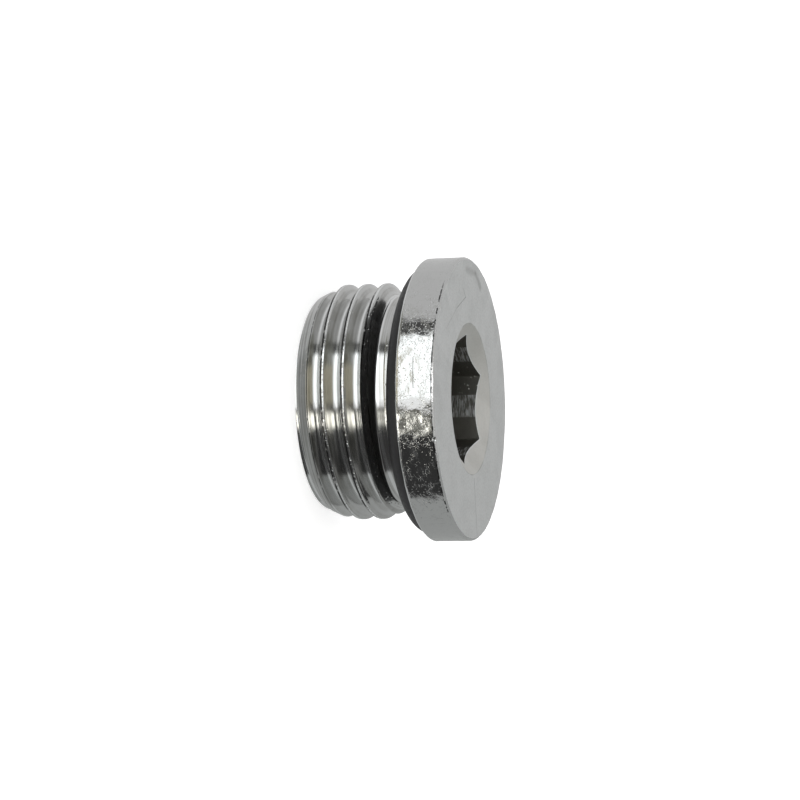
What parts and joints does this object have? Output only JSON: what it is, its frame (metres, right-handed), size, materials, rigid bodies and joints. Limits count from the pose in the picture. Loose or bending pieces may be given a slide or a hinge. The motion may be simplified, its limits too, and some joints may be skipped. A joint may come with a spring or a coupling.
{
  "type": "hex socket plug",
  "caption": "Round screw plug with a collar, a hexagon socket in its face, a pipe thread on its shank and a rubber seal ring under the collar.",
  "frame": {"origin": "centre of the shank's end face, the lowest point of the part as it stands", "axes": "+Z along the plug's axis, from the shank's end face to the outer face of the collar; +X towards a corner of the hexagon socket"},
  "size_m": [0.025, 0.025, 0.0132],
  "materials": {
    "nickel_plated_brass": "nickel plated, polished as turned",
    "seal_rubber": "satin black"
  },
  "bodies": {
    "root": {"plug_body": "nickel_plated_brass", "sealing_ring": "seal_rubber"}
  },
  "joints": []
}
